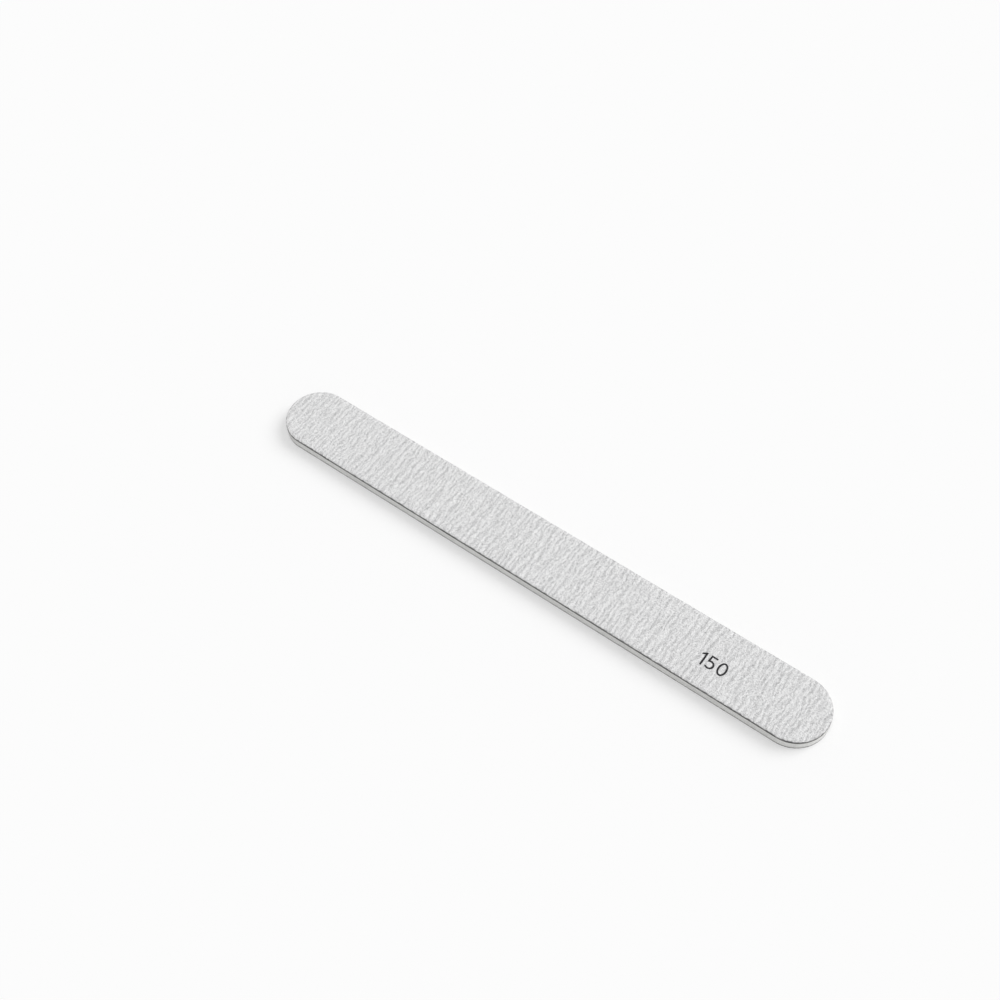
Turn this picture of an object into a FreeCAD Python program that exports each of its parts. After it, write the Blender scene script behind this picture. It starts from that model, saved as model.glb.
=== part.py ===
import FreeCAD, Part
import math
import os

# A cushioned emery board: a stiff plastic core strip between two foam pads, with an
# abrasive paper sheet glued over each pad. The laminate is die-cut with full-round ends.
# The cut draws both faces down over the foam, so every layer outside the core rolls over
# at the rim, each one parallel to the next.
# Frame: +X along the length, +Z up through the layers, the coarse face on top, and the
# origin at the middle of the underside. All sizes are in millimetres.

# Outline
LENGTH = 178.0  # tip to tip
WIDTH = 19.0  # across the straight sides, and the diameter of the round ends

# Layers, from the core outwards
CORE_THICK = 0.74  # stiff white plastic strip
CORE_GLUE_THICK = 0.06  # film on each side of the core
FOAM_THICK = 0.87  # cushion on each side
SHEET_GLUE_THICK = 0.08  # film under each abrasive sheet
COARSE_PAPER_THICK = 0.60  # heavy backing paper of the coarse sheet
FINE_PAPER_THICK = 0.26  # light backing paper of the fine sheet
COARSE_COAT_THICK = 0.20  # 150 grit in its bond, on top
FINE_COAT_THICK = 0.18  # 180 grit in its bond, underneath

# Die-cut rim
RIM_WIDTH = 1.1  # band along the edge where the faces roll over
RIM_DROP = 0.15  # how far a face has dropped where it is cut
FOAM_DISH = 0.12  # how far the foam's cut edge springs back at its mid height

HALF_WIDTH = WIDTH / 2
STRAIGHT = LENGTH - WIDTH  # between the centres of the round ends
ROLL_START = HALF_WIDTH - RIM_WIDTH  # distance from the centre line where the roll begins
ROLL_RADIUS = (RIM_WIDTH**2 + RIM_DROP**2) / (2 * RIM_DROP)  # of a face, tangent to its flat part

# Layers from the underside up: node, thickness and how far its cut edge is dished
STACK = (
    ("fine_grit_coat", FINE_COAT_THICK, 0.0),
    ("fine_backing_paper", FINE_PAPER_THICK, 0.0),
    ("fine_sheet_glue", SHEET_GLUE_THICK, 0.0),
    ("lower_foam_pad", FOAM_THICK, FOAM_DISH),
    ("lower_core_glue", CORE_GLUE_THICK, 0.0),
    ("core_strip", CORE_THICK, 0.0),
    ("upper_core_glue", CORE_GLUE_THICK, 0.0),
    ("upper_foam_pad", FOAM_THICK, FOAM_DISH),
    ("coarse_sheet_glue", SHEET_GLUE_THICK, 0.0),
    ("coarse_backing_paper", COARSE_PAPER_THICK, 0.0),
    ("coarse_grit_coat", COARSE_COAT_THICK, 0.0),
)
NODES = [node for node, _, _ in STACK]
LOWER_FOAM = NODES.index("lower_foam_pad")
UPPER_FOAM = NODES.index("upper_foam_pad")

THICK = sum(thick for _, thick, _ in STACK)
STRAIGHT_END = STRAIGHT / 2
UP = FreeCAD.Vector(0, 0, 1)


def section_point(out, height):
    """A point of the cross-section, at a distance out from the centre line."""
    return FreeCAD.Vector(0, out, height)


def arc(start, middle, end):
    """The edge of the circle through three points."""
    return Part.Arc(start, middle, end).toShape()


class FlatSeam:
    """A plane between two layers, as a line across half the cross-section."""

    def __init__(self, height):
        self.centre = section_point(0, height)
        self.rim = section_point(HALF_WIDTH, height)

    def edges(self):
        return [Part.makeLine(self.centre, self.rim)]


class RolledSeam:
    """A seam that runs flat from the centre line and rolls over at the rim, parallel to its face."""

    def __init__(self, height, face, outward):
        self.outward = outward
        self.axis_height = face - outward * ROLL_RADIUS
        self.radius = ROLL_RADIUS - abs(face - height)
        turn = math.asin(RIM_WIDTH / self.radius)
        self.centre = section_point(0, height)
        self.roll_start = self.on_roll(0)
        self.roll_middle = self.on_roll(turn / 2)
        self.rim = self.on_roll(turn)

    def on_roll(self, angle):
        """The point of the roll at an angle from where it leaves the flat part."""
        rise = self.outward * self.radius * math.cos(angle)
        return section_point(ROLL_START + self.radius * math.sin(angle), self.axis_height + rise)

    def edges(self):
        flat = Part.makeLine(self.centre, self.roll_start)
        return [flat, arc(self.roll_start, self.roll_middle, self.rim)]


def all_seams():
    """The underside, the seams between the layers and the top face, from the bottom up."""
    seams = []
    height = 0.0
    for place in range(len(STACK) + 1):
        if place <= LOWER_FOAM:
            seams.append(RolledSeam(height, 0.0, -1))
        elif place > UPPER_FOAM:
            seams.append(RolledSeam(height, THICK, 1))
        else:
            seams.append(FlatSeam(height))
        if place < len(STACK):
            height += STACK[place][1]
    return seams


def cut_edge(below, above, dish):
    """The layer's edge at the rim: straight, or dished where the foam has sprung back."""
    if not dish:
        return Part.makeLine(below.rim, above.rim)
    middle = (below.rim + above.rim) * 0.5
    return arc(below.rim, section_point(middle.y - dish, middle.z), above.rim)


def half_section(below, above, dish):
    """The layer's cross-section, from the centre line out to the rim."""
    outline = below.edges() + [cut_edge(below, above, dish)] + above.edges()
    outline.append(Part.makeLine(above.centre, below.centre))
    return Part.Face(Part.Wire(Part.__sortEdges__(outline)))


def layer_solid(section):
    """Extrudes the section along both straight sides and turns it round both ends."""
    back_end = section.translated(FreeCAD.Vector(-STRAIGHT_END, 0, 0))
    front_end = section.translated(FreeCAD.Vector(STRAIGHT_END, 0, 0))
    side = back_end.extrude(FreeCAD.Vector(STRAIGHT, 0, 0))
    other_side = side.mirror(FreeCAD.Vector(), FreeCAD.Vector(0, 1, 0))
    back_round = back_end.revolve(FreeCAD.Vector(-STRAIGHT_END, 0, 0), UP, 180)
    front_round = front_end.revolve(FreeCAD.Vector(STRAIGHT_END, 0, 0), UP, -180)
    return side.multiFuse([other_side, back_round, front_round]).removeSplitter().Solids[0]


def main():
    os.makedirs("parts", exist_ok=True)
    seams = all_seams()
    for place, (node, thick, dish) in enumerate(STACK):
        solid = layer_solid(half_section(seams[place], seams[place + 1], dish))
        solid.exportStep(f"parts/{node}.step")
        print(f"{node}: {thick:.2f} mm thick, {solid.Volume:.1f} mm3, valid {solid.isValid()}")
    print(f"board: {LENGTH:.1f} x {WIDTH:.1f} x {THICK:.2f} mm")


main()
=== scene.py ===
"""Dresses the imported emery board: rippled grit, fibrous paper edges, cellular foam and a white core."""

import logging
import math
from dataclasses import dataclass, field, replace
from enum import Enum, IntEnum
from functools import cached_property
from typing import Any

import bmesh
import bpy
import numpy as np
from mathutils import Euler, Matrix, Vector


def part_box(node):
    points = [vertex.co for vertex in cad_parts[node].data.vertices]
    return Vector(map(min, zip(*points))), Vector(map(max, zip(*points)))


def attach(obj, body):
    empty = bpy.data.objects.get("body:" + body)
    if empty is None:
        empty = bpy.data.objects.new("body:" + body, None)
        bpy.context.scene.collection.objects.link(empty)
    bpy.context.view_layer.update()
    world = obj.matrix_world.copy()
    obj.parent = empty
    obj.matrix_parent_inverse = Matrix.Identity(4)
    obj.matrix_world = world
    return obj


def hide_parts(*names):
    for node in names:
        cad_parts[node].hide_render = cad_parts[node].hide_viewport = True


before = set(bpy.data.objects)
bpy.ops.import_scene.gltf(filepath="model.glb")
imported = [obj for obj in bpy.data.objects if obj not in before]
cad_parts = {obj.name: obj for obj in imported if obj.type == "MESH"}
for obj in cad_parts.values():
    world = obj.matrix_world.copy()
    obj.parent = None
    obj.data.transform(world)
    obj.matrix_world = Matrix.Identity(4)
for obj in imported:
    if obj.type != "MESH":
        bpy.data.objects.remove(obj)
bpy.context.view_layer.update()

LOG = logging.getLogger("emery_board")
BODY = "root"
MM = 0.001
SHARP_ANGLE = math.radians(48)
SAME_POINT_DECIMALS = 9
NOISE_MEAN = 0.5

Colour = tuple[float, float, float, float]
Pair = tuple[float, float]
Triple = tuple[float, float, float]
Span = np.ndarray | float


def paint(red: float, green: float, blue: float) -> Colour:
    """Turns a screen colour into the shader's linear light, by the sRGB curve.

    Args:
        red: Red from 0 to 255.
        green: Green from 0 to 255.
        blue: Blue from 0 to 255.

    Returns:
        The linear colour with an alpha of 1.
    """
    shares = [level / 255 for level in (red, green, blue)]
    linear = [s / 12.92 if s <= 0.04045 else ((s + 0.055) / 1.055) ** 2.4 for s in shares]
    return (linear[0], linear[1], linear[2], 1.0)


class Face(Enum):
    """The two abrasive faces, with the direction that each looks in."""

    COARSE = 1
    FINE = -1

    @property
    def coat(self) -> str:
        """The CAD node of the face's grit coat."""
        return f"{self.name.lower()}_grit_coat"

    @property
    def paper(self) -> str:
        """The CAD node of the face's backing paper."""
        return f"{self.name.lower()}_backing_paper"

    @property
    def glue(self) -> str:
        """The CAD node of the film under the face's sheet."""
        return f"{self.name.lower()}_sheet_glue"


class Signal:
    """A number that varies over a surface: a node's output that can be written in an expression."""

    def __init__(self, shading: "Shading", socket: bpy.types.NodeSocket) -> None:
        """Wraps an output socket of a shading's tree."""
        self.shading = shading
        self.socket = socket

    def __add__(self, other: "Signal | float") -> "Signal":
        """Adds."""
        return self.shading.maths("ADD", self, other)

    def __radd__(self, other: float) -> "Signal":
        """Adds to a number on the left."""
        return self.shading.maths("ADD", other, self)

    def __sub__(self, other: "Signal | float") -> "Signal":
        """Subtracts."""
        return self.shading.maths("SUBTRACT", self, other)

    def __rsub__(self, other: float) -> "Signal":
        """Subtracts from a number on the left."""
        return self.shading.maths("SUBTRACT", other, self)

    def __mul__(self, other: "Signal | float") -> "Signal":
        """Multiplies."""
        return self.shading.maths("MULTIPLY", self, other)

    def __rmul__(self, other: float) -> "Signal":
        """Multiplies a number on the left."""
        return self.shading.maths("MULTIPLY", other, self)

    def ramp(self, low: float, high: float) -> "Signal":
        """Rises smoothly from 0 at one value to 1 at another.

        Args:
            low: The value that gives 0.
            high: The value that gives 1.

        Returns:
            The smoothed share.
        """
        made = self.shading.node(
            "ShaderNodeMapRange",
            {"interpolation_type": "SMOOTHSTEP"},
            {"Value": self, "From Min": low, "From Max": high},
        )
        return Signal(self.shading, made.outputs[0])


Feed = Signal | bpy.types.NodeSocket | float | tuple[float, ...]


@dataclass(frozen=True)
class Cloud:
    """A cloudy noise: the size of its largest lumps, its finer octaves and a squeeze for each axis."""

    size: float
    detail: float = 2.0
    squeeze: Triple = (1.0, 1.0, 1.0)


class CellValue(Enum):
    """What a pattern of packed cells gives, by the name of the node's output."""

    DISTANCE = "Distance"
    TONE = "Color"


class NodeTree:
    """A tree of shading nodes, emptied and ready to be filled."""

    def __init__(self, owner: bpy.types.Material | bpy.types.World) -> None:
        """Takes over the tree of a material or a world.

        Args:
            owner: The material or the world.
        """
        owner.use_nodes = True
        self.tree = owner.node_tree
        self.tree.nodes.clear()

    def node(
        self,
        kind: str,
        settings: dict[str, Any] | None = None,
        sockets: dict[str, Feed] | None = None,
    ) -> bpy.types.Node:
        """Adds a node.

        Args:
            kind: The node's type.
            settings: The node's own properties, set first.
            sockets: A value or a link for each input, by the input's identifier or name.

        Returns:
            The node.
        """
        made = self.tree.nodes.new(kind)
        for name, value in (settings or {}).items():
            setattr(made, name, value)
        for name, feed in (sockets or {}).items():
            self.plug(self.find(made, name), feed)
        return made

    def find(self, node: bpy.types.Node, name: str) -> bpy.types.NodeSocket:
        """Finds an input by its identifier, or else by its name."""
        exact = [socket for socket in node.inputs if socket.identifier == name]
        return exact[0] if exact else node.inputs[name]

    def plug(self, socket: bpy.types.NodeSocket, feed: Feed) -> None:
        """Links a signal or socket to an input, or sets the input's own value.

        Args:
            socket: The input.
            feed: What it gets.
        """
        if isinstance(feed, Signal):
            self.tree.links.new(feed.socket, socket)
        elif isinstance(feed, bpy.types.NodeSocket):
            self.tree.links.new(feed, socket)
        else:
            socket.default_value = feed


class Shading(NodeTree):
    """A material's node tree, built from expressions."""

    def __init__(self, name: str) -> None:
        """Makes an empty material of that name."""
        self.material = bpy.data.materials.new(name)
        super().__init__(self.material)

    def maths(self, operation: str, first: Signal | float, second: Signal | float) -> Signal:
        """Adds one step of arithmetic.

        Args:
            operation: The Math node's operation.
            first: The left side.
            second: The right side.

        Returns:
            The result.
        """
        sides = {"Value": first, "Value_001": second}
        return Signal(self, self.node("ShaderNodeMath", {"operation": operation}, sides).outputs[0])

    def mark(self, name: str) -> Signal:
        """Reads a value that the mesh holds at its vertices."""
        made = self.node("ShaderNodeAttribute", {"attribute_name": name})
        return Signal(self, made.outputs["Fac"])

    def place(self, squeeze: Triple = (1.0, 1.0, 1.0)) -> bpy.types.NodeSocket:
        """Gives the place on the board, in metres of its own frame.

        Args:
            squeeze: A factor for each axis, above 1 for a pattern that is finer along it.

        Returns:
            The place.
        """
        here = self.node("ShaderNodeTexCoord").outputs["Object"]
        made = self.node(
            "ShaderNodeVectorMath", {"operation": "MULTIPLY"}, {"Vector": here, "Vector_001": squeeze}
        )
        return made.outputs["Vector"]

    def noise(self, cloud: Cloud) -> Signal:
        """Adds cloudy noise.

        Args:
            cloud: Its sizes.

        Returns:
            The noise, about 0.5 on average.
        """
        sockets = {"Vector": self.place(cloud.squeeze), "Scale": 1 / cloud.size, "Detail": cloud.detail}
        return Signal(self, self.node("ShaderNodeTexNoise", None, sockets).outputs[0])

    def cells(self, size: float, value: CellValue = CellValue.DISTANCE) -> Signal:
        """Adds a pattern of packed cells.

        Args:
            size: The size of a cell, in metres.
            value: What the pattern gives.

        Returns:
            The distance to the cell's middle, in cells, or the cell's own tone, about 0.5 on average.
        """
        made = self.node("ShaderNodeTexVoronoi", None, {"Vector": self.place(), "Scale": 1 / size})
        return Signal(self, made.outputs[value.value])

    def blend(self, share: Signal, first: Feed, second: Feed) -> bpy.types.NodeSocket:
        """Mixes two colours.

        Args:
            share: 0 for the first colour and 1 for the second.
            first: The first colour.
            second: The second colour.

        Returns:
            The mixed colour.
        """
        made = self.node(
            "ShaderNodeMix",
            {"data_type": "RGBA"},
            {"Factor_Float": share, "A_Color": first, "B_Color": second},
        )
        return next(socket for socket in made.outputs if socket.identifier == "Result_Color")

    def bump(self, height: Signal, depth: float) -> bpy.types.NodeSocket:
        """Turns a height into a surface normal.

        Args:
            height: The height, in units of the depth.
            depth: What a height of 1 measures, in metres.

        Returns:
            The bent normal.
        """
        made = self.node("ShaderNodeBump", None, {"Distance": depth, "Height": height})
        return made.outputs["Normal"]

    def surface(self, sockets: dict[str, Feed]) -> bpy.types.Material:
        """Closes the tree with a Principled surface.

        Args:
            sockets: A value or a link for each of its inputs that matters.

        Returns:
            The finished material.
        """
        shader = self.node("ShaderNodeBsdfPrincipled", None, sockets)
        self.node("ShaderNodeOutputMaterial", None, {"Surface": shader.outputs["BSDF"]})
        return self.material


@dataclass(frozen=True)
class GritFinish:
    """Bonded grit: pale dried ripples over greyer grain, and dark broken grain where the die cut it.

    Each tone says how strongly its pattern shifts the mix of the two colours.
    """

    name: str
    grain: float
    ridge: Colour = paint(248, 248, 248)
    groove: Colour = paint(164, 164, 165)
    paleness: float = 0.61
    crest_mean: float = 0.57
    crest_tone: float = 0.36
    clump_tone: float = 0.72
    grain_tone: float = 1.05
    cut_light: Colour = paint(138, 138, 140)
    cut_dark: Colour = paint(84, 84, 86)
    cut_shade: float = 0.25
    cut_clump_tone: float = 0.8
    cut_grain_tone: float = 0.7
    clump_grains: float = 1.7
    clump_squeeze: Triple = (1.0, 0.7, 1.0)
    roughness: float = 0.98
    crest_polish: float = 0.2
    specular: float = 0.25
    bump_grains: float = 0.3

    def material(self) -> bpy.types.Material:
        """Builds the material.

        Returns:
            The material, which reads the marks that a coat's mesh holds.
        """
        shading = Shading(self.name)
        ripple = shading.mark("ripple")
        cut = shading.mark("cut")
        grains = shading.cells(self.grain, CellValue.TONE)
        clumps = shading.noise(Cloud(self.clump_grains * self.grain, 3, self.clump_squeeze))
        crest_shift = self.crest_tone * (ripple - self.crest_mean)
        clump_shift = self.clump_tone * (clumps - NOISE_MEAN)
        grain_shift = self.grain_tone * (grains - NOISE_MEAN)
        pale = self.paleness + crest_shift + clump_shift + grain_shift
        face = shading.blend(pale, self.groove, self.ridge)
        lit = self.cut_grain_tone * grains + self.cut_clump_tone * clumps - self.cut_shade
        broken = shading.blend(lit, self.cut_dark, self.cut_light)
        heaps = (1 - shading.cells(self.grain)) + clumps
        return shading.surface(
            {
                "Base Color": shading.blend(cut, face, broken),
                "Roughness": self.roughness - self.crest_polish * ripple,
                "Specular IOR Level": self.specular,
                "Normal": shading.bump(heaps, self.bump_grains * self.grain),
            }
        )


@dataclass(frozen=True)
class PaperFinish:
    """Dark backing paper, seen as a cut edge with its fibres lying along the sheet.

    Each tone says how strongly its pattern shifts the mix of the two colours.
    """

    name: str = "coarse_backing_paper_edge"
    fibre: Colour = paint(142, 141, 140)
    body: Colour = paint(50, 50, 51)
    fibre_share: float = 0.5
    plies: Cloud = Cloud(0.5 * MM, 3, (1.0, 1.0, 5.0))
    ply_tone: float = 1.0
    fluff: Cloud = Cloud(0.12 * MM)
    fluff_tone: float = 0.9
    tufts: Cloud = Cloud(0.36 * MM)
    tuft_tone: float = 3.0
    stains: Cloud = Cloud(2.6 * MM, 3, (1.0, 1.0, 0.4))
    stain_tone: float = 1.4
    roughness: float = 0.97
    ply_polish: float = 0.1
    specular: float = 0.2
    bump_depth: float = 0.03 * MM
    fluff_bump: float = 0.5

    def material(self) -> bpy.types.Material:
        """Builds the material.

        Returns:
            The material.
        """
        shading = Shading(self.name)
        plies = shading.noise(self.plies)
        fluff = shading.noise(self.fluff)
        tufts = shading.noise(self.tufts)
        stains = shading.noise(self.stains)
        fine_shift = self.ply_tone * (plies - NOISE_MEAN) + self.fluff_tone * (fluff - NOISE_MEAN)
        broad_shift = self.tuft_tone * (tufts - NOISE_MEAN) + self.stain_tone * (stains - NOISE_MEAN)
        fibres = self.fibre_share + fine_shift + broad_shift
        return shading.surface(
            {
                "Base Color": shading.blend(fibres, self.body, self.fibre),
                "Roughness": self.roughness - self.ply_polish * plies,
                "Specular IOR Level": self.specular,
                "Normal": shading.bump(plies + self.fluff_bump * fluff, self.bump_depth),
            }
        )


@dataclass(frozen=True)
class FoamFinish:
    """White closed-cell foam, cut through so that its cells lie open, with painted shade darkening their
    hollows.
    """

    name: str = "white_foam"
    wall: Colour = paint(234, 234, 232)
    # Painted shade: the darker colour given to the hollows of the open cells.
    hollow_shade: Colour = paint(192, 192, 191)
    hollow_shade_share: float = 0.8
    cell: float = 0.16 * MM
    open_range: Pair = (0.35, 0.8)
    clouds: Cloud = Cloud(2.5 * MM)
    cloud_range: Pair = (0.25, 0.75)
    roughness: float = 0.82
    open_roughness: float = 0.15
    specular: float = 0.3
    bump_depth: float = 0.05 * MM
    cloud_bump: float = 0.3

    def material(self) -> bpy.types.Material:
        """Builds the material.

        Returns:
            The material.
        """
        shading = Shading(self.name)
        bubbles = shading.cells(self.cell)
        clouds = shading.noise(self.clouds)
        open_cells = (1 - bubbles).ramp(*self.open_range) * clouds.ramp(*self.cloud_range)
        return shading.surface(
            {
                # The middles of the open cells are mixed towards the darker colour, as painted shade in
                # the hollows.
                "Base Color": shading.blend(self.hollow_shade_share * open_cells, self.wall, self.hollow_shade),
                "Roughness": self.roughness + self.open_roughness * open_cells,
                "Specular IOR Level": self.specular,
                "Normal": shading.bump(bubbles + self.cloud_bump * clouds, self.bump_depth),
            }
        )


@dataclass(frozen=True)
class CoreFinish:
    """Stiff white plastic, with the fine upright scores that the die leaves on its cut edge."""

    name: str = "core_plastic"
    clean: Colour = paint(236, 236, 235)
    scored: Colour = paint(208, 208, 207)
    scores: Cloud = Cloud(0.12 * MM, 3, (1.0, 1.0, 0.06))
    score_share: float = 0.6
    clouds: Cloud = Cloud(6 * MM)
    cloud_share: float = 0.4
    worn_range: Pair = (0.38, 0.68)
    roughness: float = 0.38
    worn_roughness: float = 0.22
    bump_depth: float = 0.012 * MM

    def material(self) -> bpy.types.Material:
        """Builds the material.

        Returns:
            The material.
        """
        shading = Shading(self.name)
        scores = shading.noise(self.scores)
        clouds = shading.noise(self.clouds)
        worn = (self.score_share * scores + self.cloud_share * clouds).ramp(*self.worn_range)
        return shading.surface(
            {
                "Base Color": shading.blend(worn, self.clean, self.scored),
                "Roughness": self.roughness + self.worn_roughness * worn,
                "Normal": shading.bump(scores, self.bump_depth),
            }
        )


@dataclass(frozen=True)
class GlueFinish:
    """Milky adhesive film, a little uneven along the cut."""

    name: str = "glue_film"
    clear: Colour = paint(214, 213, 208)
    thick: Colour = paint(188, 187, 181)
    pools: Cloud = Cloud(0.8 * MM, 3)
    thick_range: Pair = (0.35, 0.65)
    roughness: float = 0.3
    thick_roughness: float = 0.25
    bump_depth: float = 0.02 * MM

    def material(self) -> bpy.types.Material:
        """Builds the material.

        Returns:
            The material.
        """
        shading = Shading(self.name)
        pools = shading.noise(self.pools)
        thick = pools.ramp(*self.thick_range)
        return shading.surface(
            {
                "Base Color": shading.blend(thick, self.clear, self.thick),
                "Roughness": self.roughness + self.thick_roughness * thick,
                "Normal": shading.bump(pools, self.bump_depth),
            }
        )


@dataclass(frozen=True)
class InkFinish:
    """Matte black printing ink, thinner where the grain stands through it."""

    name: str = "printing_ink"
    full: Colour = paint(44, 44, 46)
    thin: Colour = paint(78, 78, 80)
    grain: float = 0.16 * MM
    clouds: Cloud = Cloud(0.5 * MM, 3)
    worn_range: Pair = (0.34, 0.58)
    roughness: float = 0.7
    worn_roughness: float = 0.2
    specular: float = 0.25
    bump_depth: float = 0.03 * MM

    def material(self) -> bpy.types.Material:
        """Builds the material.

        Returns:
            The material.
        """
        shading = Shading(self.name)
        grain = shading.cells(self.grain)
        clouds = shading.noise(self.clouds)
        worn = ((1 - grain) * clouds).ramp(*self.worn_range)
        return shading.surface(
            {
                "Base Color": shading.blend(worn, self.full, self.thin),
                "Roughness": self.roughness + self.worn_roughness * worn,
                "Specular IOR Level": self.specular,
                "Normal": shading.bump(clouds - grain, self.bump_depth),
            }
        )


@dataclass(frozen=True)
class Loop:
    """Points round the outline, each given by its foot on the centre line and its outward direction.

    The run is the distance along the outline to each point, and at its end the whole way round.
    """

    foot: np.ndarray
    outward: np.ndarray
    run: np.ndarray

    def at(self, reach: Span) -> tuple[np.ndarray, np.ndarray]:
        """Places the points.

        Args:
            reach: How far each point lies from its foot.

        Returns:
            The points' x and y, with no zero below zero, so that points that fall together are equal.
        """
        return self.foot + self.outward[:, 0] * reach, self.outward[:, 1] * reach + 0.0


@dataclass(frozen=True)
class Outline:
    """The die-cut outline: two straight sides joined by half-round ends."""

    half_width: float = 9.5 * MM
    straight_end: float = 79.5 * MM

    def loop(self, side_step: float, end_step: float) -> Loop:
        """Walks once round the outline, anticlockwise from the front of the right end.

        Args:
            side_step: The spacing along the straight sides.
            end_step: The spacing along the round ends.

        Returns:
            The points.
        """
        along = round(2 * self.straight_end / side_step)
        around = round(math.pi * self.half_width / end_step)
        turn = np.linspace(-math.pi / 2, math.pi / 2, around, endpoint=False)
        back = np.full(along, math.pi / 2)
        angle = np.concatenate([turn, back, turn + math.pi, -back])
        right = np.full(around, self.straight_end)
        side = np.linspace(self.straight_end, -self.straight_end, along, endpoint=False)
        foot = np.concatenate([right, side, -right, -side])
        end_steps = [math.pi * self.half_width / around] * around
        side_steps = [2 * self.straight_end / along] * along
        run = np.concatenate([[0.0], np.cumsum((end_steps + side_steps) * 2)])
        return Loop(foot, np.stack([np.cos(angle), np.sin(angle)], axis=1), run)


@dataclass(frozen=True)
class RimRoll:
    """How the die draws a face down along the cut, with all its seams parallel."""

    width: float = 1.1 * MM
    drop: float = 0.15 * MM

    def sag(self, inset: Span, depth: float) -> np.ndarray:
        """Gives how far a seam has dropped.

        Args:
            inset: The distance in from the cut.
            depth: How deep the seam lies under the face.

        Returns:
            The drop.
        """
        radius = (self.width**2 + self.drop**2) / (2 * self.drop) - depth
        run = np.clip(self.width - np.asarray(inset), 0.0, self.width)
        return radius - np.sqrt(radius**2 - run**2)


@dataclass(frozen=True)
class FaceNoise:
    """A seeded random field over the board, of zero mean and unit spread, from filtered white noise.

    Attributes:
        seed: The random generator's seed.
        lump: The size below which lumps are smoothed away.
        cell: The spacing of its grid.
        half_length: How far the grid reaches along the board, from the middle.
        half_breadth: How far it reaches across.
    """

    seed: int
    lump: float = 0.42 * MM
    cell: float = 0.1 * MM
    half_length: float = 96 * MM
    half_breadth: float = 12 * MM

    def gain(self, along: np.ndarray, across: np.ndarray) -> np.ndarray:
        """Passes rounded lumps.

        Args:
            along: Waves per metre along the length.
            across: Waves per metre across the width.

        Returns:
            How much of each wave is kept.
        """
        return np.exp(-(along**2 + across**2) * self.lump**2)

    @cached_property
    def grid(self) -> np.ndarray:
        """The field on a grid of cells, across by along."""
        rows = round(2 * self.half_breadth / self.cell)
        columns = round(2 * self.half_length / self.cell)
        white = np.random.default_rng(self.seed).standard_normal((rows, columns))
        along = np.fft.fftfreq(columns, self.cell)[None, :]
        across = np.fft.fftfreq(rows, self.cell)[:, None]
        made = np.fft.ifft2(np.fft.fft2(white) * self.gain(np.abs(along), np.abs(across))).real
        return (made - made.mean()) / made.std()

    def at(self, x: np.ndarray, y: np.ndarray) -> np.ndarray:
        """Reads the field between its cells.

        Args:
            x: Places along the length.
            y: Places across the width.

        Returns:
            The field's values.
        """
        column = (x + self.half_length) / self.cell
        row = (y + self.half_breadth) / self.cell
        left = np.floor(column).astype(int)
        low = np.floor(row).astype(int)
        right_share = column - left
        high_share = row - low
        near = self.grid[low, left] * (1 - right_share) + self.grid[low, left + 1] * right_share
        far = self.grid[low + 1, left] * (1 - right_share) + self.grid[low + 1, left + 1] * right_share
        return near * (1 - high_share) + far * high_share


@dataclass(frozen=True)
class RippleNoise(FaceNoise):
    """Ripples that run across the width, as the bond dries in: uneven, wandering and branching.

    Attributes:
        pitch: The usual distance from ripple to ripple.
        variety: How much that distance varies, as a share of it.
        reach: How far a ripple runs before it branches or fades.
    """

    pitch: float = 1.55 * MM
    variety: float = 0.32
    reach: float = 8.0 * MM

    def gain(self, along: np.ndarray, across: np.ndarray) -> np.ndarray:
        """Passes waves of about the pitch along the length, in long runs across the width.

        Args:
            along: Waves per metre along the length.
            across: Waves per metre across the width.

        Returns:
            How much of each wave is kept.
        """
        off_pitch = (along * self.pitch - 1) / self.variety
        return np.exp(-(off_pitch**2) / 4) * np.exp(-across * self.reach)


class Chart(IntEnum):
    """How a band between two rings is laid on its texture sheet: as the higher chart of the two."""

    FACE = 0
    EDGE = 1
    HIDDEN = 2


@dataclass(frozen=True)
class TextureSheet:
    """A square sheet on which one long strip is laid in rows, so that its texture stays fine.

    The hidden sides, shrunk, take a corner that the rows leave free.
    """

    length: float
    breadth: float
    margin: float = 0.4 * MM
    row_slack: float = 1.03
    hidden_breadth: float = 20 * MM
    shrink: float = 0.02

    @property
    def pitch(self) -> float:
        """The distance from row to row."""
        return self.breadth + self.margin

    @property
    def row(self) -> float:
        """The length of a row that makes the sheet about square."""
        return self.row_slack * math.sqrt(self.length * self.pitch)

    @property
    def end(self) -> float:
        """Where the rows end and the hidden sides' corner begins."""
        return self.pitch * math.ceil(self.length / self.row) + self.margin

    @property
    def side(self) -> float:
        """The side of the sheet."""
        hidden_end = self.end + self.margin + self.shrink * self.hidden_breadth
        return max(self.row + 3 * self.margin, hidden_end)

    def fold(self, along: np.ndarray, across: np.ndarray) -> np.ndarray:
        """Lays corners of the strip in rows.

        Args:
            along: Distances along the strip, by face and corner.
            across: Distances across it.

        Returns:
            The places on the sheet, as shares of its side.
        """
        line = np.floor(along.mean(axis=1, keepdims=True) / self.row)
        spots = [along - line * self.row + self.margin, across + line * self.pitch + self.margin]
        return np.stack(spots, axis=2) / self.side

    def tuck(self, along: np.ndarray, across: np.ndarray) -> np.ndarray:
        """Lays corners of a hidden side in the small corner that is left."""
        spots = [along * self.shrink + self.margin, across * self.shrink + self.end]
        return np.stack(spots, axis=2) / self.side


@dataclass(frozen=True)
class Ring:
    """One ring of a layer's mesh: where it runs, and where it lies on the texture sheet.

    Unrolled is the reach that it has on the sheet, where that isn't its own.
    """

    reach: Span
    height: Span
    chart: Chart
    unrolled: float | None = None
    marks: dict[str, Span] = field(default_factory=dict)


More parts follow.
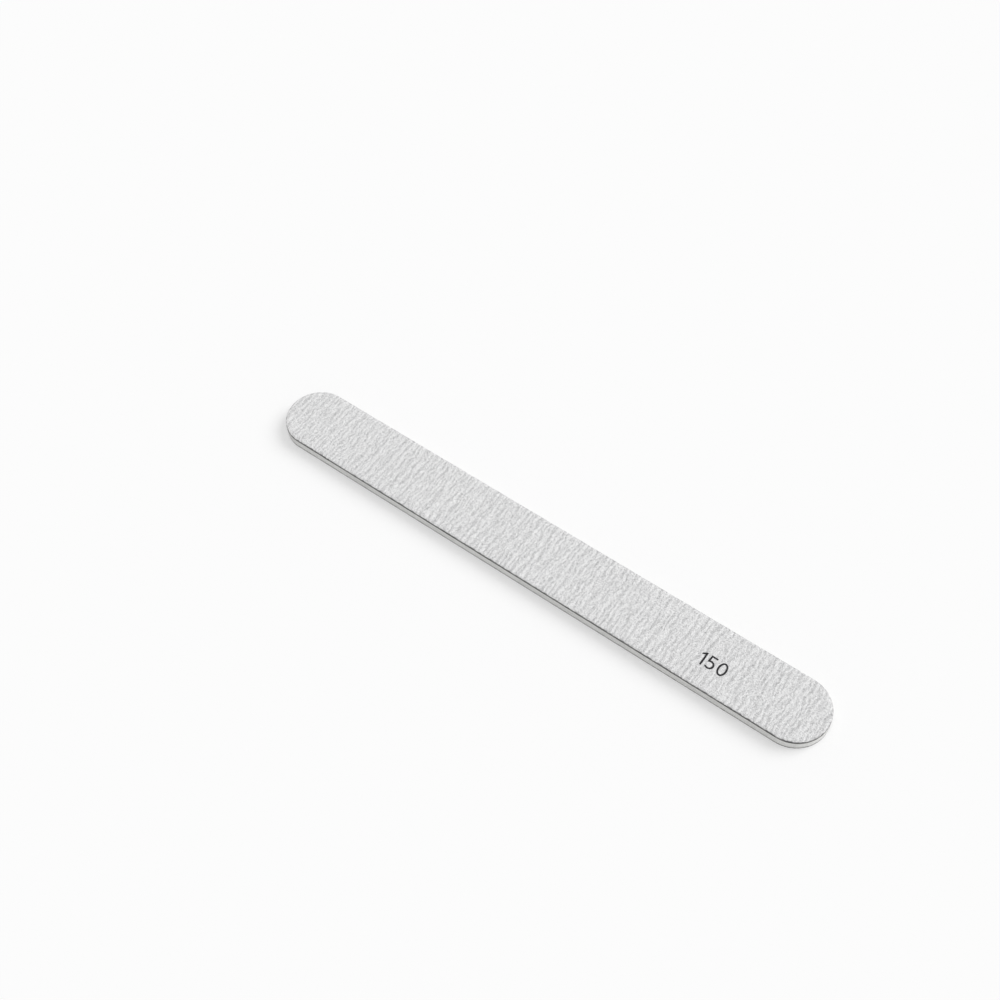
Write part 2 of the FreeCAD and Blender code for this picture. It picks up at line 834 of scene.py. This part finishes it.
@dataclass(frozen=True)
class RingSolid:
    """A closed mesh of rings round the outline: out over its top, down its cut edge and in under it."""

    name: str
    loop: Loop
    sheet: TextureSheet
    rings: list[Ring]

    def spread(self, values: list[Span]) -> np.ndarray:
        """Gives one value per point, ring after ring."""
        return np.concatenate([np.broadcast_to(value, self.loop.foot.shape) for value in values])

    def points(self) -> np.ndarray:
        """Gives the points' coordinates, ring after ring."""
        plan = np.concatenate([np.stack(self.loop.at(ring.reach), axis=1) for ring in self.rings])
        return np.column_stack([plan, self.spread([ring.height for ring in self.rings])])

    def corners(self) -> np.ndarray:
        """Joins each ring to the next.

        Returns:
            The points at the four corners of each face.
        """
        count = len(self.loop.foot)
        band, place = np.meshgrid(np.arange(len(self.rings) - 1), np.arange(count), indexing="ij")
        start = band.ravel() * count
        place = place.ravel()
        after = (place + 1) % count
        onward = start + count
        return np.stack([start + place, onward + place, onward + after, start + after], axis=1)

    def texture_places(self, corners: np.ndarray, points: np.ndarray) -> np.ndarray:
        """Finds where each face's corners lie on the texture sheet.

        Args:
            corners: The points at the corners of each face.
            points: The points' coordinates.

        Returns:
            The places, by face and corner.
        """
        count = len(self.loop.foot)
        reaches = [ring.reach if ring.unrolled is None else ring.unrolled for ring in self.rings]
        unrolled = self.spread(reaches)
        foot = np.tile(self.loop.foot, len(self.rings))
        outward = np.tile(self.loop.outward, (len(self.rings), 1))
        plan_x = foot + outward[:, 0] * unrolled
        plan_y = outward[:, 1] * unrolled
        plan_x -= plan_x.min()
        plan_y -= plan_y.min()
        start = corners[:, :1] % count
        run = self.loop.run[np.concatenate([start, start, start + 1, start + 1], axis=1)]
        edge_heights = [np.min(ring.height) for ring in self.rings if ring.chart is Chart.EDGE]
        rise = points[:, 2] - min(edge_heights, default=0.0)
        ring_charts = np.repeat([ring.chart for ring in self.rings], count)
        charts = ring_charts[corners].max(axis=1)[:, None, None]
        faces = self.sheet.fold(plan_x[corners], plan_y[corners])
        edges = self.sheet.fold(run, rise[corners])
        hidden = self.sheet.tuck(plan_x[corners], plan_y[corners])
        return np.where(charts == Chart.HIDDEN, hidden, np.where(charts == Chart.EDGE, edges, faces))

    def mesh(self) -> bpy.types.Mesh:
        """Builds the mesh, with one vertex where points fall together.

        Returns:
            The mesh, with its places on the texture sheet and its marks.
        """
        points = self.points()
        corners = self.corners()
        rounded = np.round(points, SAME_POINT_DECIMALS)
        _, first, same = np.unique(rounded, axis=0, return_index=True, return_inverse=True)
        verts = same.reshape(-1)[corners]
        kept = verts != np.roll(verts, 1, axis=1)
        whole = kept.sum(axis=1) >= 3
        faces = [row[keep].tolist() for row, keep in zip(verts[whole], kept[whole])]
        made = bpy.data.meshes.new(self.name)
        made.from_pydata(points[first].tolist(), [], faces)
        places = self.texture_places(corners, points)[whole][kept[whole]]
        layer = made.uv_layers.new(name="OFBake")
        layer.uv.foreach_set("vector", places.astype(np.float32).ravel())
        for name in self.rings[0].marks:
            values = self.spread([ring.marks[name] for ring in self.rings])[first].astype(np.float32)
            made.attributes.new(name, "FLOAT", "POINT").data.foreach_set("value", values)
        return made


def add_piece(name: str, mesh: bpy.types.Mesh, material: bpy.types.Material) -> bpy.types.Object:
    """Makes a mesh a piece that rides on the board, smooth but for its sharp edges.

    Args:
        name: The piece's name.
        mesh: Its mesh.
        material: Its finish.

    Returns:
        The piece.
    """
    mesh.shade_smooth()
    mesh.set_sharp_from_angle(angle=SHARP_ANGLE)
    mesh.materials.append(material)
    made = bpy.data.objects.new(name, mesh)
    bpy.context.scene.collection.objects.link(made)
    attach(made, BODY)
    LOG.info("%s: %d faces", name, len(mesh.polygons))
    return made


def dress_node(node: str, material: bpy.types.Material) -> None:
    """Gives a CAD node that stays in view its finish.

    Args:
        node: The node's name.
        material: The finish.
    """
    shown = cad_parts[node]
    shown.data.materials.clear()
    shown.data.materials.append(material)
    LOG.info("%s: CAD solid dressed with %s", node, material.name)


@dataclass(frozen=True)
class CutLayer:
    """What the replaced layers share: a CAD node, the face it belongs to and the roll of the rim.

    The glued insets are the distances in from the cut of a glued side's rings.
    """

    node: str
    face: Face
    outline: Outline = Outline()
    roll: RimRoll = RimRoll()
    glued_insets: tuple[float, ...] = (5.0 * MM, 1.1 * MM, 0.7 * MM, 0.35 * MM)

    def level(self, node: str) -> float:
        """The height of a layer's flat part on the side towards the face."""
        low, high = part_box(node)
        return high.z if self.face is Face.COARSE else low.z

    def depth(self, node: str) -> float:
        """How deep under the face a layer begins."""
        return abs(self.level(self.face.coat) - self.level(node))

    def seam(self, inset: Span, depth: float) -> np.ndarray:
        """Gives the height of the seam at a depth under the face, which rolls over at the rim."""
        return self.level(self.face.coat) - self.face.value * (depth + self.roll.sag(inset, depth))

    def glued_side(self, depth: float | None = None, height: float | None = None) -> list[Ring]:
        """Makes the rings of a glued side, from the centre line out to just inside the cut.

        Args:
            depth: The depth of its seam under the face, for a side that rolls over at the rim.
            height: Its height, for a flat side.

        Returns:
            The rings.
        """
        rings: list[Ring] = []
        for inset in (self.outline.half_width, *self.glued_insets):
            level = height if depth is None else self.seam(inset, depth)
            rings.append(Ring(self.outline.half_width - inset, level, Chart.HIDDEN))
        return rings

    def lay(
        self,
        name: str,
        loop: Loop,
        rings: list[Ring],
        sheet: TextureSheet,
        material: bpy.types.Material,
    ) -> bpy.types.Object:
        """Builds the layer's mesh and puts it in the place of its CAD node.

        Args:
            name: The piece's name.
            loop: The points round the outline.
            rings: The rings, from the side towards the face to the side towards the core.
            sheet: The texture sheet.
            material: The finish.

        Returns:
            The piece.
        """
        ordered = rings if self.face is Face.COARSE else rings[::-1]
        made = add_piece(name, RingSolid(name, loop, sheet, ordered).mesh(), material)
        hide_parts(self.node)
        return made


@dataclass(frozen=True)
class ChippedLip:
    """How the die breaks a coat along the cut, in small lumps and in longer flaws.

    Attributes:
        lumps: The field of the lumps.
        flaws: The field of the flaws.
        width: How far in from the cut the lip reaches.
        setback: How far it stands back from the cut where it isn't chipped.
        chip: How deep the deepest chips are.
        broken_mean: How badly it is broken on average, from 0 to 1.
        broken_by_lumps: How much the lumps change that.
        broken_by_flaws: How much the flaws change it.
        bared_least: The share of dark grain that shows everywhere.
        bared_gain: How much more shows where the lip is broken.
        bared_from: How badly it has to be broken for that.
    """

    lumps: FaceNoise
    flaws: FaceNoise
    width: float = 0.4 * MM
    setback: float = 0.02 * MM
    chip: float = 0.12 * MM
    broken_mean: float = 0.35
    broken_by_lumps: float = 0.3
    broken_by_flaws: float = 0.35
    bared_least: float = 0.05
    bared_gain: float = 0.5
    bared_from: float = 0.15

    def broken(self, x: np.ndarray, y: np.ndarray) -> np.ndarray:
        """Gives how badly the lip is broken at places along the cut."""
        by_lumps = self.broken_by_lumps * self.lumps.at(x, y)
        return self.broken_mean + by_lumps + self.broken_by_flaws * self.flaws.at(x, y)

    def chips(self, x: np.ndarray, y: np.ndarray) -> np.ndarray:
        """Gives how far the lip is chipped back."""
        return self.chip * np.clip(self.broken(x, y), 0.0, 1.0)

    def bared(self, x: np.ndarray, y: np.ndarray) -> np.ndarray:
        """Gives how much dark grain the lip shows."""
        opened = np.clip(self.broken(x, y) - self.bared_from, 0.0, 1.0)
        return self.bared_least + self.bared_gain * opened


@dataclass(frozen=True)
class GritCoat(CutLayer):
    """A grit coat with its ripples, lumps and chipped edge as real relief.

    Attributes:
        finish: Its finish.
        seed: The seed that the seeds of its fields follow.
        headroom: The room for a printed film, under the CAD solid's face.
        relief: How high a ridge stands over a groove.
        wrinkle_share: How strong the wrinkles are beside the ripples.
        stray: How far the ripples stray to a side.
        stray_limit: How many times that far they stray at most.
        steepness: How steep the ripples' sides are.
        ridge_excess: How much broader the ridges are than the grooves.
        lump: Half the height of the lumps.
        lump_limit: The value of their field at which they have their full height.
        side_step: The spacing of the points along the straight sides.
        end_step: Their spacing round the ends.
        flat_rings: How many rings the flat part has.
        flat_end: How far in from the cut its last ring lies.
        rim_rings: How many rings the rim has.
        rim_start: How far in from the cut its first ring lies.
        cut_shares: How far down the cut edge each of its rings lies, from 0 to 1.
    """

    finish: GritFinish = GritFinish("coarse_grit", 0.16 * MM)
    seed: int = 11
    headroom: float = 0.034 * MM
    relief: float = 0.08 * MM
    wrinkle_share: float = 0.7
    stray: float = 0.19 * MM
    stray_limit: float = 2.5
    steepness: float = 0.85
    ridge_excess: float = 0.2
    lump: float = 0.012 * MM
    lump_limit: float = 2.0
    side_step: float = 0.2 * MM
    end_step: float = 0.26 * MM
    flat_rings: int = 30
    flat_end: float = 1.2 * MM
    rim_rings: int = 6
    rim_start: float = 1.0 * MM
    cut_shares: Triple = (0.3, 0.65, 1.0)

    @cached_property
    def ripples(self) -> RippleNoise:
        """The coat's own ripples."""
        return RippleNoise(self.seed)

    @cached_property
    def wrinkles(self) -> RippleNoise:
        """Finer and shorter ripples over the others."""
        return RippleNoise(self.seed + 3, pitch=0.95 * MM, variety=0.36, reach=5.0 * MM)

    @cached_property
    def meander(self) -> FaceNoise:
        """How the ripples stray to either side as they cross the board."""
        return FaceNoise(self.seed + 4, lump=3.0 * MM)

    @cached_property
    def lumps(self) -> FaceNoise:
        """The coat's own lumps."""
        return FaceNoise(self.seed + 1)

    @cached_property
    def lip(self) -> ChippedLip:
        """The coat's own broken lip."""
        return ChippedLip(self.lumps, FaceNoise(self.seed + 2, lump=1.1 * MM))

    def crest(self, x: np.ndarray, y: np.ndarray) -> np.ndarray:
        """Gives how far up a ripple each place is.

        Args:
            x: Places along the length.
            y: Places across the width.

        Returns:
            The shares, from 0 in a narrow groove to 1 on a broad ridge.
        """
        strayed = x + self.stray * np.clip(self.meander.at(x, y), -self.stray_limit, self.stray_limit)
        wave = self.ripples.at(strayed, y) + self.wrinkle_share * self.wrinkles.at(strayed, y)
        return (1 + np.tanh(self.steepness * wave + self.ridge_excess)) / 2

    def skin(self, x: np.ndarray, y: np.ndarray, inset: Span) -> np.ndarray:
        """Gives the height of the coat's outer surface.

        Args:
            x: Places along the length.
            y: Places across the width.
            inset: Their distances in from the cut.

        Returns:
            The heights.
        """
        lumps = np.clip(self.lumps.at(x, y) / self.lump_limit, -1.0, 1.0)
        sunk = self.headroom + self.relief * (1 - self.crest(x, y)) + self.lump * (1 - lumps)
        return self.seam(inset, 0.0) - self.face.value * sunk

    def face_rings(self, loop: Loop) -> list[Ring]:
        """Makes the rings of the outer surface, from the centre line out to the lip.

        Args:
            loop: The points round the outline.

        Returns:
            The rings.
        """
        half = self.outline.half_width
        chips = self.lip.chips(*loop.at(half))
        bared = self.lip.bared(*loop.at(half))
        flat = np.linspace(half, self.flat_end, self.flat_rings)
        rim = np.linspace(self.rim_start, 0.0, self.rim_rings)
        rings: list[Ring] = []
        for inset in np.concatenate([flat, rim]):
            near = max(0.0, 1 - inset / self.lip.width)
            reach = half - inset - near * (chips + self.lip.setback)
            x, y = loop.at(reach)
            marks = {"ripple": self.crest(x, y), "cut": near * bared}
            rings.append(Ring(reach, self.skin(x, y, half - reach), Chart.FACE, half - inset, marks))
        return rings

    def cut_rings(self, loop: Loop, lip: Ring, thick: float) -> list[Ring]:
        """Makes the rings of the cut edge, from under the lip down to the paper.

        Args:
            loop: The points round the outline.
            lip: The ring of the lip.
            thick: The coat's thickness.

        Returns:
            The rings.
        """
        half = self.outline.half_width
        chips = self.lip.chips(*loop.at(half))
        bottom = self.seam(0.0, thick)
        marks = {"ripple": lip.marks["ripple"], "cut": 1.0}
        rings: list[Ring] = []
        for share in self.cut_shares:
            reach = half - chips * (1 - share)
            height = lip.height + (bottom - lip.height) * share
            rings.append(Ring(reach, height, Chart.FACE, half + thick * share, marks))
        return rings

    def build(self) -> bpy.types.Object:
        """Builds the coat and dresses it.

        Returns:
            The coat, in place of its CAD node.
        """
        loop = self.outline.loop(self.side_step, self.end_step)
        half = self.outline.half_width
        thick = self.depth(self.face.paper)
        rings = self.face_rings(loop)
        rings += self.cut_rings(loop, rings[-1], thick)
        unseen = {"ripple": 0.5, "cut": 1.0}
        rings += [replace(ring, marks=unseen) for ring in reversed(self.glued_side(depth=thick))]
        sheet = TextureSheet(2 * (half + self.outline.straight_end + thick), 2 * (half + thick))
        made = self.lay(f"{self.node}_rippled", loop, rings, sheet, self.finish.material())
        return made


@dataclass(frozen=True)
class EdgeNoise:
    """How uneven a cut edge is.

    Attributes:
        seed: The seed of the random field behind it.
        depth: How deep the deepest bites are.
        mean: How deep they are on average, as a share of that.
        gain: How much the field changes the share.
        inwards: How far in from the cut the field is read at the foot of the edge.
    """

    seed: int
    depth: float
    mean: float
    gain: float
    inwards: float = 2 * MM

    @cached_property
    def noise(self) -> FaceNoise:
        """The random field behind it."""
        return FaceNoise(self.seed)

    def bite(self, loop: Loop, half_width: float, share: float) -> np.ndarray:
        """Gives how far the edge is bitten away.

        Args:
            loop: The points round the outline.
            half_width: The outline's half width.
            share: How far down the edge, from 0 to 1.

        Returns:
            The depths.
        """
        uneven = self.noise.at(*loop.at(half_width - self.inwards * share))
        return self.depth * np.clip(self.mean + self.gain * uneven, 0.0, 1.0)


@dataclass(frozen=True)
class BackingPaper(CutLayer):
    """A sheet's backing paper, with the cut edge that the die leaves a little torn."""

    finish: PaperFinish = PaperFinish()
    tear: EdgeNoise = EdgeNoise(31, depth=0.05 * MM, mean=0.5, gain=0.4)
    step: float = 0.25 * MM
    edge_rings: int = 8

    def build(self) -> bpy.types.Object:
        """Builds the paper and dresses it.

        Returns:
            The paper, in place of its CAD node.
        """
        loop = self.outline.loop(self.step, self.step)
        half = self.outline.half_width
        start = self.depth(self.node)
        end = self.depth(self.face.glue)
        rings = self.glued_side(depth=start)
        for share in np.linspace(0.0, 1.0, self.edge_rings):
            height = self.seam(0.0, start) * (1 - share) + self.seam(0.0, end) * share
            rings.append(Ring(half - self.tear.bite(loop, half, share), height, Chart.EDGE))
        rings += reversed(self.glued_side(depth=end))
        sheet = TextureSheet(loop.run[-1], end - start)
        made = self.lay(f"{self.node}_torn", loop, rings, sheet, self.finish.material())
        return made


@dataclass(frozen=True)
class FoamPad(CutLayer):
    """A foam pad, whose cut edge has sprung back into a dish and shows its open cells."""

    finish: FoamFinish = FoamFinish()
    pits: EdgeNoise = EdgeNoise(51, depth=0.03 * MM, mean=0.4, gain=0.5)
    dish: float = 0.12 * MM
    step: float = 0.25 * MM
    edge_rings: int = 13

    def build(self) -> bpy.types.Object:
        """Builds the pad and dresses it.

        Returns:
            The pad, in place of its CAD node.
        """
        loop = self.outline.loop(self.step, self.step)
        half = self.outline.half_width
        low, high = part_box(self.node)
        core_side = low.z if self.face is Face.COARSE else high.z
        start = self.depth(self.node)
        rings = self.glued_side(depth=start)
        for share in np.linspace(0.0, 1.0, self.edge_rings):
            dished = self.dish * 4 * share * (1 - share)
            height = self.seam(0.0, start) * (1 - share) + core_side * share
            rings.append(Ring(half - dished - self.pits.bite(loop, half, share), height, Chart.EDGE))
        rings += reversed(self.glued_side(height=core_side))
        sheet = TextureSheet(loop.run[-1], high.z - low.z)
        made = self.lay(f"{self.node}_cellular", loop, rings, sheet, self.finish.material())
        return made


@dataclass(frozen=True)
class Numeral:
    """A plain upright digit, drawn in units of its own height."""

    digit: str
    bearing: float = 0.07
    narrow: float = 0.56
    wide: float = 0.82
    closed: Pair = (0.0, 351.0)

    @staticmethod
    def oval(middle: Pair, radii: Pair, turns: Pair) -> np.ndarray:
        """Draws a part of an oval.

        Args:
            middle: Its middle.
            radii: Its half width and half height.
            turns: The angles where it starts and ends, in degrees.

        Returns:
            Its 40 points.
        """
        angle = np.radians(np.linspace(*turns, 40))
        return np.stack([np.cos(angle), np.sin(angle)], axis=1) * radii + middle

    @property
    def width(self) -> float:
        """The width that the digit takes in a line, with its share of the gaps."""
        return self.narrow if self.digit == "1" else self.wide

    def outlines(self) -> list[np.ndarray]:
        """Draws the digit.

        Returns:
            Its outer outline and its holes.
        """
        if self.digit == "1":
            stem = [(0.27, 0.0), (0.40, 0.0), (0.40, 1.0), (0.30, 1.0)]
            flag = [(0.06, 0.83), (0.06, 0.69), (0.27, 0.83)]
            return [np.array(stem + flag)]
        if self.digit == "5":
            bar = [(0.10, 1.0), (0.58, 1.0), (0.58, 0.88), (0.215, 0.88)]
            bowl = self.oval((0.29, 0.32), (0.33, 0.32), (107.0, -146.0))
            inside = self.oval((0.29, 0.32), (0.20, 0.20), (-138.0, 126.0))
            return [np.concatenate([bar, bowl, inside, [(0.06, 0.46)]])]
        if self.digit == "8":
            head = self.oval((0.33, 0.75), (0.28, 0.25), (-65.0, 245.0))
            belly = self.oval((0.33, 0.27), (0.33, 0.27), (112.0, 428.0))
            holes = [((0.33, 0.755), (0.16, 0.135)), ((0.33, 0.275), (0.20, 0.16))]
            return [np.concatenate([head, belly])] + [self.oval(*hole, self.closed) for hole in holes]
        return [self.oval((0.33, 0.5), radii, self.closed) for radii in ((0.33, 0.5), (0.20, 0.38))]


@dataclass(frozen=True)
class GritNumber:
    """A plain grit number printed on a face, as a thin film that follows the ripples.

    Attributes:
        coat: The coat that it is printed on.
        digits: The number.
        along: Where its middle is along the board.
        aside: Where its middle is across the board, seen with the face up.
        height: The height of its digits.
        film: How far the ink stands out of the coat.
        soaked_share: How far it reaches down into the coat, as a share of that.
        longest_edge: The longest edge that its mesh may have.
        halvings: How often longer edges are halved.
        same_point: How near to each other points are the same point.
        finish: Its finish.
    """

    coat: GritCoat
    digits: str
    along: float = 56.5 * MM
    aside: float = -1.6 * MM
    height: float = 4.0 * MM
    film: float = 0.03 * MM
    soaked_share: float = 0.8
    longest_edge: float = 0.16 * MM
    halvings: int = 6
    same_point: float = 0.0001 * MM
    finish: InkFinish = InkFinish()

    def flat_mesh(self, name: str) -> bpy.types.Mesh:
        """Draws the digits round the origin.

        Args:
            name: The mesh's name.

        Returns:
            A mesh whose upper side is above a z of 0 and whose lower side is below it.
        """
        curve = bpy.data.curves.new(name, "CURVE")
        curve.dimensions = "2D"
        curve.fill_mode = "BOTH"
        curve.extrude = 1.0
        numerals = [Numeral(digit) for digit in self.digits]
        left = -sum(numeral.width for numeral in numerals) / 2
        for numeral in numerals:
            for outline in numeral.outlines():
                spline = curve.splines.new("POLY")
                spline.points.add(len(outline) - 1)
                for point, (x, y) in zip(spline.points, outline):
                    across = (left + x + numeral.bearing) * self.height
                    point.co = (across, (y - 0.5) * self.height, 0.0, 1.0)
                spline.use_cyclic_u = True
            left += numeral.width
        holder = bpy.data.objects.new(name, curve)
        bpy.context.scene.collection.objects.link(holder)
        bpy.context.view_layer.update()
        mesh = bpy.data.meshes.new_from_object(holder)
        bpy.data.objects.remove(holder)
        bpy.data.curves.remove(curve)
        return mesh

    @staticmethod
    def span(edge: bmesh.types.BMEdge) -> float:
        """Gives an edge's length, seen from above."""
        return (edge.verts[0].co.xy - edge.verts[1].co.xy).length

    def divide(self, work: bmesh.types.BMesh) -> None:
        """Divides the digits into small triangles, so that they can follow the ripples.

        Args:
            work: The digits' mesh.
        """
        bmesh.ops.remove_doubles(work, verts=work.verts, dist=self.same_point)
        bmesh.ops.triangulate(work, faces=work.faces)
        for _ in range(self.halvings):
            long = [edge for edge in work.edges if self.span(edge) > self.longest_edge]
            bmesh.ops.subdivide_edges(work, edges=long, cuts=1)
            bmesh.ops.triangulate(work, faces=work.faces)

    def build(self) -> bpy.types.Object:
        """Drapes the digits over the coat.

        Returns:
            The printed number.
        """
        name = f"printed_number_{self.digits}"
        mesh = self.flat_mesh(name)
        work = bmesh.new()
        work.from_mesh(mesh)
        self.divide(work)
        turn = self.coat.face.value
        flat = np.array([vert.co for vert in work.verts])
        x = self.along + flat[:, 0]
        y = turn * (self.aside + flat[:, 1])
        skin = self.coat.skin(x, y, self.coat.outline.half_width - np.abs(y))
        lift = turn * self.film * np.where(flat[:, 2] > 0, 1.0, -self.soaked_share)
        for vert, spot in zip(work.verts, np.stack([x, y, skin + lift], axis=1).tolist()):
            vert.co = spot
        bmesh.ops.recalc_face_normals(work, faces=work.faces)
        work.to_mesh(mesh)
        work.free()
        return add_piece(name, mesh, self.finish.material())


@dataclass(frozen=True)
class AbrasiveSheet:
    """One face's sheet: its coat, its paper, the film under it and its printed number."""

    coat: GritCoat
    paper: BackingPaper
    number: GritNumber
    glue: GlueFinish = GlueFinish()

    def build(self) -> None:
        """Builds the sheet's pieces and dresses its glue film."""
        self.coat.build()
        self.paper.build()
        self.number.build()
        dress_node(self.coat.face.glue, self.glue.material())


@dataclass(frozen=True)
class CoreStack:
    """The inside of the board: the stiff core, the film on each side of it and the two foam pads."""

    upper_pad: FoamPad
    lower_pad: FoamPad
    core: CoreFinish = CoreFinish()
    glue: GlueFinish = GlueFinish()

    def build(self) -> None:
        """Builds the pads and dresses the core and its films."""
        self.upper_pad.build()
        self.lower_pad.build()
        dress_node("core_strip", self.core.material())
        film = self.glue.material()
        dress_node("upper_core_glue", film)
        dress_node("lower_core_glue", film)


@dataclass(frozen=True)
class Studio:
    """A pale floor under soft light from the far right, as in the photograph.

    The sky and the sun each give their share of the light on a level surface.
    """

    floor_half: float = 6.0
    floor_gap: float = 0.01 * MM
    floor_colour: Colour = paint(252, 252, 252)
    floor_glow: float = 0.4
    sky: float = 0.61
    sky_colour: Colour = paint(255, 255, 255)
    sun: float = 0.39
    sun_azimuth: float = 54.0
    sun_elevation: float = 42.0
    sun_spread: float = 42.0

    def floor(self) -> None:
        """Lays the floor just under the board."""
        work = bmesh.new()
        bmesh.ops.create_grid(work, x_segments=1, y_segments=1, size=self.floor_half)
        mesh = bpy.data.meshes.new("floor")
        work.to_mesh(mesh)
        work.free()
        made = bpy.data.objects.new("floor", mesh)
        made.location.z = -self.floor_gap
        bpy.context.scene.collection.objects.link(made)
        mesh.materials.append(self.floor_finish())

    def floor_finish(self) -> bpy.types.Material:
        """Makes the floor's white, which glows a little to the camera so that the shadow stays pale.

        Returns:
            The material.
        """
        shading = Shading("floor_white")
        white = shading.node("ShaderNodeBsdfDiffuse", None, {"Color": self.floor_colour}).outputs[0]
        glow = shading.node("ShaderNodeEmission", None, {"Color": self.floor_colour}).outputs[0]
        camera_ray = Signal(shading, shading.node("ShaderNodeLightPath").outputs["Is Camera Ray"])
        links = {"Fac": self.floor_glow * camera_ray, "Shader": white, "Shader_001": glow}
        mix = shading.node("ShaderNodeMixShader", None, links)
        shading.node("ShaderNodeOutputMaterial", None, {"Surface": mix.outputs[0]})
        return shading.material

    def lamp(self) -> None:
        """Hangs the soft key light, which gives a level white surface its share of the light."""
        elevation = math.radians(self.sun_elevation)
        azimuth = math.radians(self.sun_azimuth)
        light = bpy.data.lights.new("soft_key", "SUN")
        light.energy = self.sun * math.pi / math.sin(elevation)
        light.angle = math.radians(self.sun_spread)
        made = bpy.data.objects.new("soft_key", light)
        flat = math.cos(elevation)
        towards = Vector((flat * math.cos(azimuth), flat * math.sin(azimuth), math.sin(elevation)))
        made.rotation_euler = towards.to_track_quat("Z", "Y").to_euler()
        bpy.context.scene.collection.objects.link(made)

    def backdrop(self) -> None:
        """Makes the world the floor's white to the camera and a soft even light to everything else."""
        world = bpy.data.worlds.new("studio")
        bpy.context.scene.world = world
        nodes = NodeTree(world)
        seen = nodes.node("ShaderNodeBackground", None, {"Color": self.floor_colour}).outputs[0]
        lit = nodes.node("ShaderNodeBackground", None, {"Color": self.sky_colour, "Strength": self.sky})
        camera_ray = nodes.node("ShaderNodeLightPath").outputs["Is Camera Ray"]
        links = {"Fac": camera_ray, "Shader": lit.outputs[0], "Shader_001": seen}
        mix = nodes.node("ShaderNodeMixShader", None, links)
        nodes.node("ShaderNodeOutputWorld", None, {"Surface": mix.outputs[0]})

    def build(self) -> None:
        """Builds the floor, the lamp and the backdrop."""
        self.floor()
        self.lamp()
        self.backdrop()
        bpy.context.scene.view_settings.view_transform = "Standard"


@dataclass(frozen=True)
class Viewpoint:
    """The camera, where the photograph was taken from."""

    place: Triple = (0.121423, -0.151084, 0.328113)
    turn_deg: Triple = (32.98599, 3.06713, 36.74055)
    lens_mm: float = 50.0
    sensor_mm: float = 36.0
    nearest: float = 0.01

    def build(self) -> None:
        """Places the camera and makes it the scene's own."""
        lens = bpy.data.cameras.new("camera")
        lens.lens = self.lens_mm
        lens.sensor_width = self.sensor_mm
        lens.clip_start = self.nearest
        made = bpy.data.objects.new("camera", lens)
        made.location = self.place
        made.rotation_euler = Euler([math.radians(turn) for turn in self.turn_deg], "XYZ")
        bpy.context.scene.collection.objects.link(made)
        bpy.context.scene.camera = made


def write_sizes() -> None:
    """Updates the view layer."""
    bpy.context.view_layer.update()


def main() -> None:
    """Builds the sheets, the core stack, the studio and the camera."""
    logging.basicConfig(level=logging.INFO, format="%(name)s %(message)s")
    coarse = GritCoat("coarse_grit_coat", Face.COARSE)
    fine = GritCoat("fine_grit_coat", Face.FINE, finish=GritFinish("fine_grit", 0.13 * MM), seed=21)
    coarse_paper = BackingPaper("coarse_backing_paper", Face.COARSE)
    # The fine paper is the same stock as the coarse one. Its lighter colours below are painted light, for
    # light bounced from the floor onto the board's lower edge.
    fine_paper = BackingPaper(
        "fine_backing_paper",
        Face.FINE,
        finish=PaperFinish("fine_backing_paper_edge_painted_lighter", paint(152, 151, 150), paint(84, 84, 85)),
        tear=replace(coarse_paper.tear, seed=41),
    )
    AbrasiveSheet(coarse, coarse_paper, GritNumber(coarse, "150")).build()
    AbrasiveSheet(fine, fine_paper, GritNumber(fine, "180")).build()
    upper = FoamPad("upper_foam_pad", Face.COARSE)
    lower = FoamPad("lower_foam_pad", Face.FINE, pits=replace(upper.pits, seed=61))
    CoreStack(upper, lower).build()
    Studio().build()
    Viewpoint().build()
    write_sizes()


if __name__ == "__main__":
    main()
